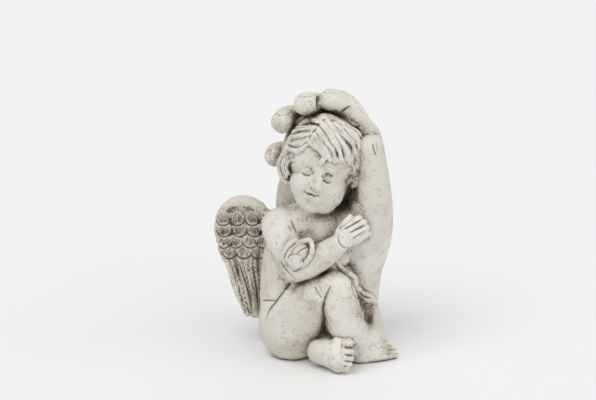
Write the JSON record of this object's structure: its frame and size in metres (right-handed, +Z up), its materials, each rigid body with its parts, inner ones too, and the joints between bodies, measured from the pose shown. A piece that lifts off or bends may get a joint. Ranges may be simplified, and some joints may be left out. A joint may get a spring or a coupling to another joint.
{
  "type": "angel statue",
  "caption": "Cast stone statue of a winged child seated in a large open hand, its head leaning on the thumb and the fingers curled over it. Stands on a flat underside.",
  "frame": {"origin": "on the flat underside, near the middle of the statue's footprint", "axes": "+Z up. -Y towards the viewer, who sees the child's face. +X towards the large hand's thumb, on the viewer's right"},
  "size_m": [0.1887, 0.1427, 0.2788],
  "materials": {
    "cast_stone": "pale warm-grey cast stone, matt, with brown-grey patina in the hollows and small casting pits"
  },
  "bodies": {
    "root": {"angel_statue": "cast_stone"}
  },
  "joints": []
}
